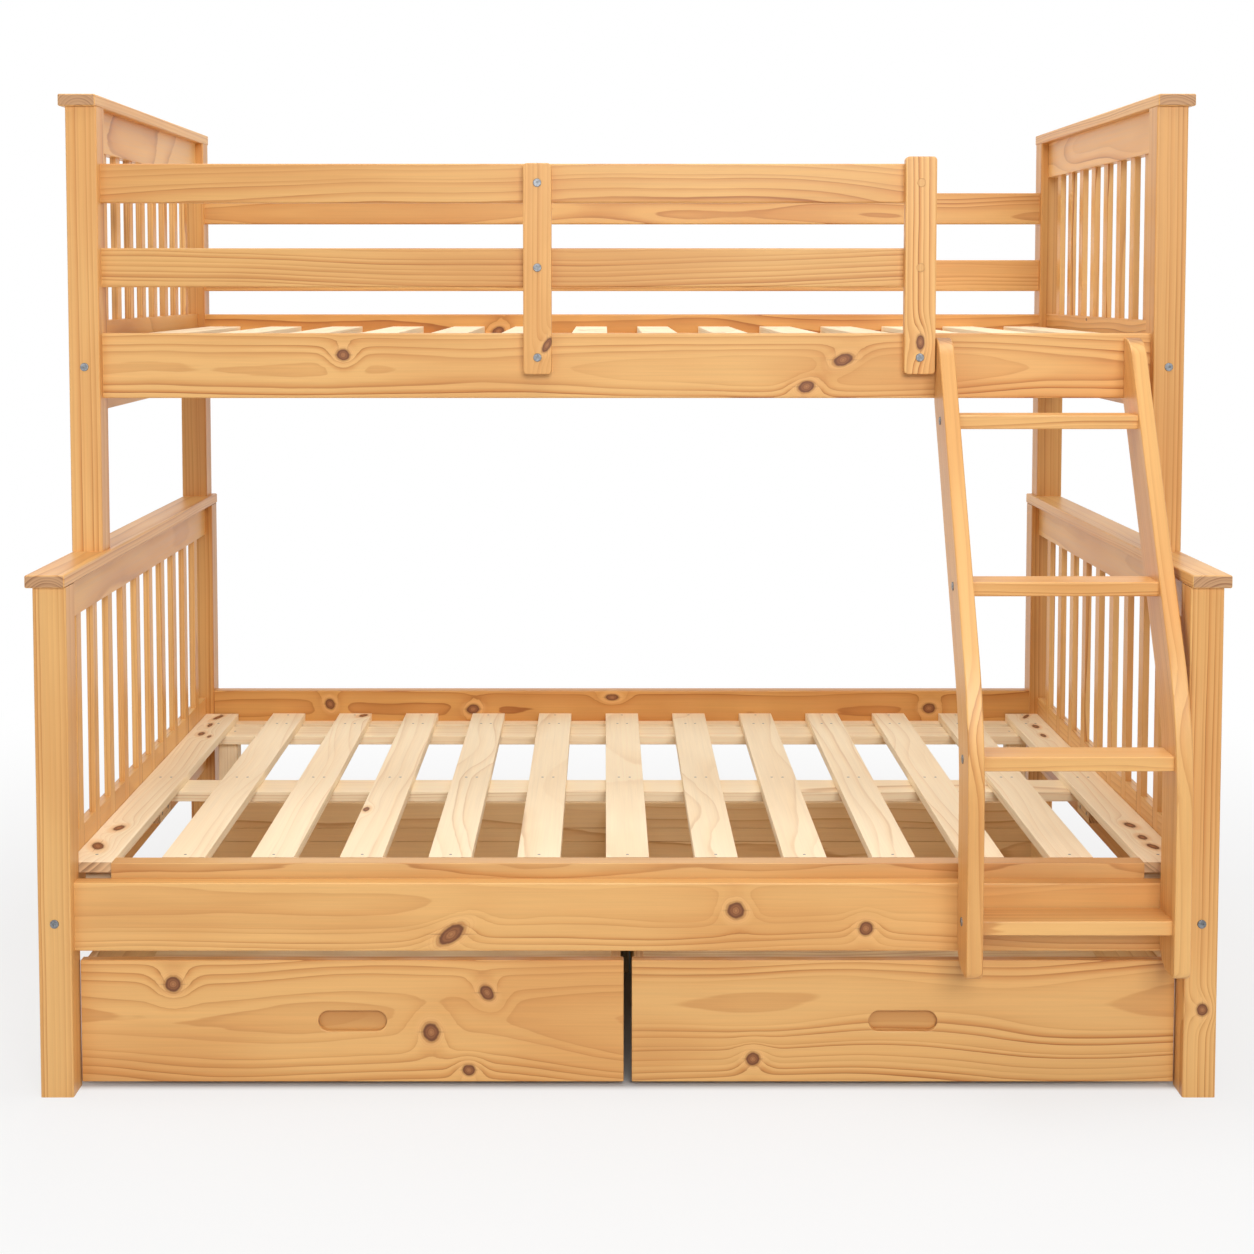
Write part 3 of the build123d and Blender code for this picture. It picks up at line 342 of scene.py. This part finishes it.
def knot_group():
    """One knot: how far away it is in knot radii, how it pushes the rings, and its dark whiskers."""
    group, net, start, end = new_group(
        "knot",
        [("Place", "Vector"), ("Centre", "Vector"), ("Scale", "Vector"), ("Slant", "Float"),
         ("Push", "Float"), ("Nearest", "Float"), ("Pushed", "Float"), ("Whisker", "Float")],
        [("Nearest", "Float"), ("Pushed", "Float"), ("Whisker", "Float")])
    away = net.vector("SUBTRACT", start["Place"], start["Centre"])
    turned = net.add("VectorRotate", {"Vector": away, "Angle": start["Slant"]},
                     rotation_type="Z_AXIS").outputs[0]
    scaled = net.vector("MULTIPLY", turned, start["Scale"])
    uneven = net.math("SUBTRACT", net.noise(start["Place"], (KNOT_ROUGH[0],) * 3).outputs[0], 0.5)
    far = net.math("ADD", net.vector("LENGTH", scaled), net.math("MULTIPLY", uneven, KNOT_ROUGH[1]))
    net.put(end["Nearest"], net.math("MINIMUM", start["Nearest"], far))
    bump = net.math("EXPONENT", net.math("MULTIPLY", net.math("MULTIPLY", far, far), PUSH_FALL))
    net.put(end["Pushed"], net.math("ADD", start["Pushed"], net.math("MULTIPLY", bump, start["Push"])))
    flat = net.vector("MULTIPLY", net.vector("MULTIPLY", away, start["Scale"]), WHISKER_SHAPE)
    net.put(end["Whisker"], net.math("MINIMUM", start["Whisker"], net.vector("LENGTH", flat)))
    return group


def speck_group():
    """Small knots strewn at random: Share of the cells holds one. Gives the distance in knot radii."""
    group, net, start, end = new_group(
        "small_knots",
        [("Place", "Vector"), ("Chance", "Vector"), ("Share", "Float")],
        [("Nearest", "Float")])
    place = net.vector("ADD", start["Place"], net.vector("SCALE", start["Chance"], SPECK_SHIFT))
    cells = net.add("TexVoronoi", {"Vector": net.vector("MULTIPLY", place, SPECK_CELLS), "Scale": 1.0})
    pick, size = net.split(cells.outputs["Color"])[:2]
    uneven = net.math("SUBTRACT", net.noise(place, SPECK_STRETCH).outputs[0], 0.5)
    radii = net.math("DIVIDE", cells.outputs["Distance"], net.span(size, 0.0, 1.0, *SPECK_SIZES, False))
    far = net.math("ADD", radii, net.math("MULTIPLY", uneven, SPECK_ROUGH))
    empty = net.math("SUBTRACT", 1.0, net.math("LESS_THAN", pick, start["Share"]))
    net.put(end["Nearest"], net.math("ADD", far, net.math("MULTIPLY", empty, NO_KNOT)))
    return group


def new_material(name):
    """A material, the net of its nodes, and its shader."""
    material = bpy.data.materials.new(name)
    material.use_nodes = True
    return material, Net(material.node_tree), material.node_tree.nodes["Principled BSDF"]


def emboss(net, shader, height, strength, depth):
    """Give a surface its fine relief."""
    bump = net.add("Bump", {"Height": height, "Strength": strength, "Distance": depth})
    net.put(shader.inputs["Normal"], bump.outputs[0])


def place_in_board(net, along, across, into, lean=False):
    """A point of the object as grain, face and depth coordinates of its board."""
    point = net.add("TexCoord").outputs["Object"]
    parts = list(net.split(point))
    if lean:
        over = net.math("SMOOTH_MAX", net.math("SUBTRACT", parts[2], LADDER_BEND), 0.0, BEND_LENGTH)
        parts[1] = net.math("SUBTRACT", parts[1], net.math("MULTIPLY", over, tan(LADDER_LEAN)))
    return net.join(*(parts[AXES[a]] for a in (along, across, into))), point


def board_chance(net, point, cells, seed):
    """Three random numbers for each board of a node. Cells are (axis, start, pitch) of its boards."""
    index = [0.0, 0.0, 0.0]
    parts = net.split(point)
    for axis, start, pitch in cells:
        k = AXES[axis]
        index[k] = net.math("FLOOR", net.math("DIVIDE", net.math("SUBTRACT", parts[k], start), pitch))
    offset = net.vector("ADD", net.join(*index), tuple(seed * step + 0.5 for step in SEED_STEP))
    return net.add("TexWhiteNoise", {"Vector": offset}, noise_dimensions="3D").outputs["Color"]


def knotted(net, body, near, whisker, look):
    """Pine with its knots laid over it. Whisker is None where it has only small strewn ones."""
    body = net.blend(net.fade(near, *HALO_FADE), body, linear(HALO))
    ripples = net.fade(net.math("FRACT", net.math("MULTIPLY", near, RIPPLES)), *RIPPLE_FADE)
    body = net.blend(net.math("MULTIPLY", ripples, net.span(near, *RIPPLE_REACH)), body, linear(look.deep))
    body = net.blend(net.fade(near, *EDGE_FADE), body, linear(look.line))
    if whisker is not None:
        body = net.blend(net.fade(whisker, *WHISKER_FADE), body, linear(KNOT_HEART))
    heart = net.blend(net.span(near, *CORE_FADE), linear(KNOT_CORE), linear(KNOT_HEART))
    turns = net.fade(net.math("FRACT", net.math("MULTIPLY", near, KNOT_TURNS)), *TURN_FADE)
    heart = net.blend(turns, heart, linear(KNOT_RIM))
    heart = net.blend(net.fade(near, *RIM_FADE), heart, linear(KNOT_RIM))
    return net.blend(net.fade(near, *KNOT_FADE), body, heart)


def recessed(net, body, point, recess):
    """Painted shade in a finger pull, fuller towards its top. The pull is given by its middle and reach along
    X and along Z, and its depths along Y.
    """
    x, y, z = net.split(point)
    wide, high, depths = recess
    inside = [net.math("LESS_THAN", net.math("ABSOLUTE", net.math("SUBTRACT", value, at)), reach)
              for value, (at, reach) in ((x, wide), (z, high))]
    shade = net.math("MULTIPLY", net.math("MULTIPLY", *inside), net.span(y, *depths))
    upper = net.span(z, high[0] - high[1], high[0] + high[1], *PULL_SHADE_EDGES)
    return net.blend(net.math("MULTIPLY", shade, upper), body, linear(PULL_SHADE_COLOUR))


def pine(node, along, across, into, look=LACQUER, cells=(), centre=(0.0, 0.0), pith=(0.0, -0.06), width=RING,
         wander=0.03, share=0.0, lean=False, grain=1.0, tint=PLAIN, recess=()):
    """Pine with rings, knots and fibres, for one node.

    along, across and into are the axes of its grain, its face and its depth. centre is the middle of the
    board across its face and into it, and pith is where the rings centre from there. share is how many small
    knots are strewn over it, and grain is how strong its rings are.
    """
    material, net, shader = new_material(node)
    place, point = place_in_board(net, along, across, into, lean)
    chance = board_chance(net, point, cells, SEEDS[node])
    knots = KNOTS.get(node, ())
    near, pushed, whisker = NO_KNOT, 0.0, NO_KNOT
    for u, v, half_u, half_v, slant in knots:
        near, pushed, whisker = net.add("Group", {
            "Place": place, "Centre": (u, v, 0.0), "Scale": (1 / half_u, 1 / half_v, 0.0),
            "Slant": radians(-slant), "Push": KNOT_PUSH * width, "Nearest": near, "Pushed": pushed,
            "Whisker": whisker}, node_tree=KNOT).outputs
    spread = net.vector("MULTIPLY", net.vector("SUBTRACT", chance, (0.5, 0.5, 0.5)), PITH_SPREAD)
    heart = net.vector("ADD", spread, (0.0, centre[0] + pith[0], centre[1] + pith[1]))
    ring, thin, fibre, tone = net.add("Group", {
        "Place": place, "Chance": chance, "Pith": heart, "Width": width, "Wander": wander,
        "Push": pushed}, node_tree=RINGS).outputs

    body = net.blend(net.fade(tone, *BLOTCH, BLOTCH_SHARE * grain), linear(look.pale), linear(look.deep))
    body = net.blend(net.math("MULTIPLY", ring, RING_SHARE * grain, clamp=True), body, linear(look.deep))
    body = net.blend(net.math("MULTIPLY", thin, LINE_SHARE * grain, clamp=True), body, linear(look.line))
    level = net.math("MULTIPLY", net.span(fibre, *FIBRE_BAND, *FIBRE_LIGHT, False),
                     net.span(net.split(chance)[2], 0.0, 1.0, *BOARD_LIGHT, False))
    body = net.blend(1.0, body, net.join(level, level, level), "MULTIPLY")
    # the tint is the board's own colour, but painted shade on the back timber and the guards
    if tint != PLAIN:
        body = net.blend(1.0, body, (*tint, 1.0), "MULTIPLY")

    normal = net.add("TexCoord").outputs["Normal"]
    cut = net.span(net.math("ABSOLUTE", net.split(normal)[AXES[along]]), *CUT_FACING)
    end = net.blend(net.math("MULTIPLY", ring, CUT_RINGS, clamp=True), linear(look.end), linear(END_RING))
    body = net.blend(net.math("MULTIPLY", cut, CUT_SHARE), body, end)
    if share:
        specks = net.add("Group", {"Place": place, "Chance": chance, "Share": share}, node_tree=SPECKS)
        near = net.math("MINIMUM", near, specks.outputs[0])
    if knots or share:
        body = knotted(net, body, near, whisker if knots else None, look)
    # painted shade in the finger pulls
    if recess:
        body = recessed(net, body, point, recess)
    net.put(shader.inputs["Base Color"], body)

    sheen = net.span(fibre, *NOISE_BAND, *(look.rough + change for change in SHEEN_CHANGE), False)
    net.put(shader.inputs["Roughness"], net.math("ADD", sheen, net.math("MULTIPLY", cut, CUT_ROUGH)))
    relief = net.math("ADD", net.math("MULTIPLY", fibre, FIBRE_RELIEF),
                      net.math("MULTIPLY", thin, LINE_RELIEF))
    emboss(net, shader, relief, look.relief, RELIEF_DEPTH)
    shader.inputs["Specular IOR Level"].default_value = look.gloss
    return material


def steel():
    """Dull zinc, a little cloudy."""
    material, net, shader = new_material("zinc_steel")
    point = net.add("TexCoord").outputs["Object"]
    cloud = net.noise(point, (260.0, 260.0, 260.0), 3.0).outputs[0]
    fine = net.noise(point, (2400.0, 2400.0, 2400.0)).outputs[0]
    shade = net.blend(net.span(cloud, *NOISE_BAND), linear(STEEL), linear(STEEL_DULL))
    net.put(shader.inputs["Base Color"], shade)
    net.put(shader.inputs["Roughness"], net.span(fine, *NOISE_BAND, *STEEL_ROUGH, False))
    emboss(net, shader, fine, 0.15, GRIT_DEPTH)
    shader.inputs["Metallic"].default_value = STEEL_METALLIC
    return material


def plastic(name, colour):
    """Moulded nylon with a fine grit and paler, worn clouds."""
    material, net, shader = new_material(name)
    point = net.add("TexCoord").outputs["Object"]
    grit = net.noise(point, (1500.0, 1500.0, 1500.0)).outputs[0]
    cloud = net.noise(point, (60.0, 60.0, 60.0)).outputs[0]
    worn = tuple(min(1.0, c * 1.35 + 0.02) for c in colour)
    shade = net.blend(net.fade(cloud, *WORN_FADE), linear(colour), linear(worn))
    net.put(shader.inputs["Base Color"], shade)
    net.put(shader.inputs["Roughness"], net.span(grit, *NOISE_BAND, *PLASTIC_ROUGH, False))
    emboss(net, shader, grit, 0.2, GRIT_DEPTH)
    return material


def dress(node, material):
    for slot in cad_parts[node].material_slots:
        slot.material = material


def panel(node, *axes, **looks):
    """Dress a node in its own pine."""
    dress(node, pine(node, *axes, **looks))


def middle(node, across, into):
    """The middle of a node across its face and into it."""
    low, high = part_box(node)
    return tuple((low[AXES[a]] + high[AXES[a]]) / 2 for a in (across, into))


def row_cells(node, axis, count):
    """Cells that part a node's evenly spaced boards."""
    low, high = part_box(node)
    k = AXES[axis]
    return (axis, low[k], (high[k] - low[k]) / count)


def dress_bed(level):
    """The posts, ends and side rails of one bed."""
    for end in ("front", "back"):
        # the back posts and back side rails get a painted shade
        tint = BACK_SHADE_TINT if end == "back" else PLAIN
        for side, bend in (("left", -0.13), ("right", 0.13)):
            node = f"{level}_{end}_{side}_post"
            panel(node, "Z", "X", "Y", centre=middle(node, "X", "Y"), pith=(bend, -0.05), width=0.0095,
                  wander=0.012, tint=tint)
        node = f"{level}_{end}_side_rail"
        panel(node, "X", "Z", "Y", centre=middle(node, "Z", "Y"), pith=(0.0, 0.07), width=0.007, wander=0.035,
              tint=tint)
    for side in ("left", "right"):
        node = f"{level}_{side}_cap"
        panel(node, "Y", "X", "Z", centre=middle(node, "X", "Z"), pith=(0.0, -0.035), width=0.0055,
              wander=0.015)
    for kind in ("top_boards", "end_rails"):
        node = f"{level}_{kind}"
        panel(node, "Y", "Z", "X", cells=(BOTH_ENDS,), centre=(middle(node, "Z", "X")[0], 0.0),
              pith=(0.0, 0.9), width=0.010, wander=0.06, share=0.03)
    node = f"{level}_spindles"
    panel(node, "Z", "Y", "X", cells=(BOTH_ENDS, row_cells(node, "Y", SPINDLES[level])), pith=(0.6, 0.9),
          width=0.006, wander=0.02)


def dress_guards():
    for node in ("front_guard_rails", "back_guard_rails"):
        # the guards get a painted shade
        panel(node, "X", "Z", "Y", cells=(row_cells(node, "Z", 2),), centre=middle(node, "Z", "Y"),
              pith=(0.05, 0.06), width=0.008, wander=0.05, tint=GUARD_SHADE_TINT)
    for node in ("middle_brace", "end_brace"):
        panel(node, "Z", "X", "Y", centre=middle(node, "X", "Y"), pith=(0.09, 0.05), width=0.006, wander=0.02)
    panel("brace_plugs", "Z", "X", "Y", cells=(BOTH_ENDS,), width=0.006)


def dress_deck(level):
    """The slats of one bed and the ledgers that they lie on."""
    node = f"{level}_slats"
    panel(node, "Y", "X", "Z", BARE, cells=(row_cells(node, "X", SLATS[level]),), pith=(0.02, -0.9),
          width=0.010, wander=0.05, share=0.02, grain=0.55)
    node = f"{level}_ledgers"
    panel(node, "X", "Z", "Y", BARE, cells=(row_cells(node, "Y", 2),), width=0.007)


def dress_beams():
    panel("deck_batten", "X", "Z", "Y", centre=middle("deck_batten", "Z", "Y"), pith=(0.05, 0.06),
          width=0.007, wander=0.04, tint=BATTEN_TINT)
    panel("support_beams", "X", "Y", "Z", BARE, cells=(row_cells("support_beams", "Y", 2),), width=0.009,
          grain=0.7)
    panel("beam_cleats", "Y", "X", "Z", BARE, cells=(BOTH_ENDS,), width=0.006)
    for node in ("beam_legs", "wood_dowels"):
        panel(node, "Z", "X", "Y", BARE, cells=(BOTH_ENDS,), width=0.006)


def dress_ladder():
    for node in ("ladder_left_board", "ladder_right_board"):
        panel(node, "Z", "Y", "X", centre=middle(node, "Y", "X"), pith=(0.02, 0.08), width=0.006, wander=0.02,
              lean=True, share=0.02)
    panel("ladder_rungs", "X", "Y", "Z", cells=(row_cells("ladder_rungs", "Z", RUNGS),), pith=(0.3, 0.3),
          width=0.007)


def dress_drawer(side):
    node = f"{side}_drawer_front"
    low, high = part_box(node)
    # where the finger pull's painted shade lies
    pull = (((low.x + high.x) / 2, PULL_REACH[0]), ((low.z + high.z) / 2, PULL_REACH[1]),
            tuple(low.y + depth for depth in PULL_SHADE))
    panel(node, "X", "Z", "Y", centre=middle(node, "Z", "Y"), pith=(0.0, 0.10), width=0.009, wander=0.06,
          recess=pull)
    node = f"{side}_drawer_sides"
    panel(node, "Y", "Z", "X", BARE, cells=(row_cells(node, "X", 2),), pith=(0.1, 0.5), width=0.008,
          tint=BOX_TINT)
    panel(f"{side}_drawer_back", "X", "Z", "Y", BARE, pith=(0.1, 0.8), width=0.009, tint=BOX_TINT)
    panel(f"{side}_drawer_bottom", "X", "Y", "Z", BARE, width=0.011, wander=0.09, grain=0.8, tint=PLY_TINT)
    dress(f"{side}_drawer_forks", FORK_PLASTIC)
    for end in ("front", "rear"):
        dress(f"{side}_drawer_{end}_wheels", WHEEL_PLASTIC)


def floor():
    """A pale floor that runs out to plain white and keeps the bed's shadow."""
    corners = [(x * FLOOR_HALF, y * FLOOR_HALF, 0.0) for x, y in ((-1, -1), (1, -1), (1, 1), (-1, 1))]
    mesh = bpy.data.meshes.new("floor")
    mesh.from_pydata(corners, [], [(0, 1, 2, 3)])
    made = bpy.data.objects.new("floor", mesh)
    bpy.context.scene.collection.objects.link(made)

    material, net = new_material("pale_floor")[:2]
    material.node_tree.nodes.clear()
    point = net.add("TexCoord").outputs["Object"]
    x, y = net.split(point)[:2]
    away = net.vector("LENGTH", net.vector("MULTIPLY", point, SHADOW_OVAL))
    beside = net.span(net.math("ABSOLUTE", x), *UNDER_X)
    before = net.span(y, *UNDER_FRONT, 1.0, 0.0)
    behind = net.span(y, *UNDER_BACK)
    clear = net.math("MAXIMUM", beside, net.math("MAXIMUM", before, behind))
    amount = net.math("MULTIPLY", net.seen(), net.span(away, *SHADOW_FADE, SHADOW_GLOW, 1.0))
    amount = net.math("MULTIPLY", amount, clear)
    lit = net.add("BsdfDiffuse", {"Color": (FLOOR_GREY, FLOOR_GREY, FLOOR_GREY, 1.0)}).outputs[0]
    plain = net.add("Emission", {"Color": WHITE, "Strength": 1.0}).outputs[0]
    mixed = net.add("MixShader", {0: amount, 1: lit, 2: plain}).outputs[0]
    net.put(net.add("OutputMaterial").inputs[0], mixed)
    mesh.materials.append(material)


def area_light(name, place, target, size, power, mirrored):
    """A soft rectangular light that faces its target."""
    data = bpy.data.lights.new(name, "AREA")
    data.shape = "RECTANGLE"
    data.size, data.size_y = size
    data.energy = power
    made = bpy.data.objects.new(name, data)
    made.location = place
    made.visible_glossy = mirrored
    made.rotation_euler = (Vector(target) - Vector(place)).to_track_quat("-Z", "Y").to_euler()
    bpy.context.scene.collection.objects.link(made)


def studio():
    """A world that looks plain white and lights softly, and the lights."""
    world = bpy.data.worlds.new("studio")
    world.use_nodes = True
    bpy.context.scene.world = world
    net = Net(world.node_tree)
    back = world.node_tree.nodes["Background"]
    back.inputs["Color"].default_value = WHITE
    net.put(back.inputs["Strength"], net.span(net.seen(), 0.0, 1.0, SKY_LIGHT, 1.0, False))
    for light in LIGHTS:
        area_light(*light)
    bpy.context.scene.view_settings.view_transform = "Standard"


def camera():
    data = bpy.data.cameras.new("camera")
    data.lens = LENS
    data.sensor_width = SENSOR
    data.shift_x, data.shift_y = SHIFT
    data.clip_end = SIGHT
    made = bpy.data.objects.new("camera", data)
    made.location = CAMERA
    made.rotation_euler = (radians(90.0 - CAMERA_DOWN), 0.0, 0.0)
    bpy.context.scene.collection.objects.link(made)
    bpy.context.scene.camera = made


RINGS = ring_group()
KNOT = knot_group()
SPECKS = speck_group()
FORK_PLASTIC = plastic("fork_plastic", FORK_GREY)
WHEEL_PLASTIC = plastic("wheel_plastic", WHEEL_GREY)
ZINC = steel()

camera()
studio()
floor()
for level in ("lower", "upper"):
    dress_bed(level)
    dress_deck(level)
dress_guards()
dress_beams()
dress_ladder()
for side in ("left", "right"):
    dress_drawer(side)
for fixing in FIXINGS:
    dress(fixing, ZINC)
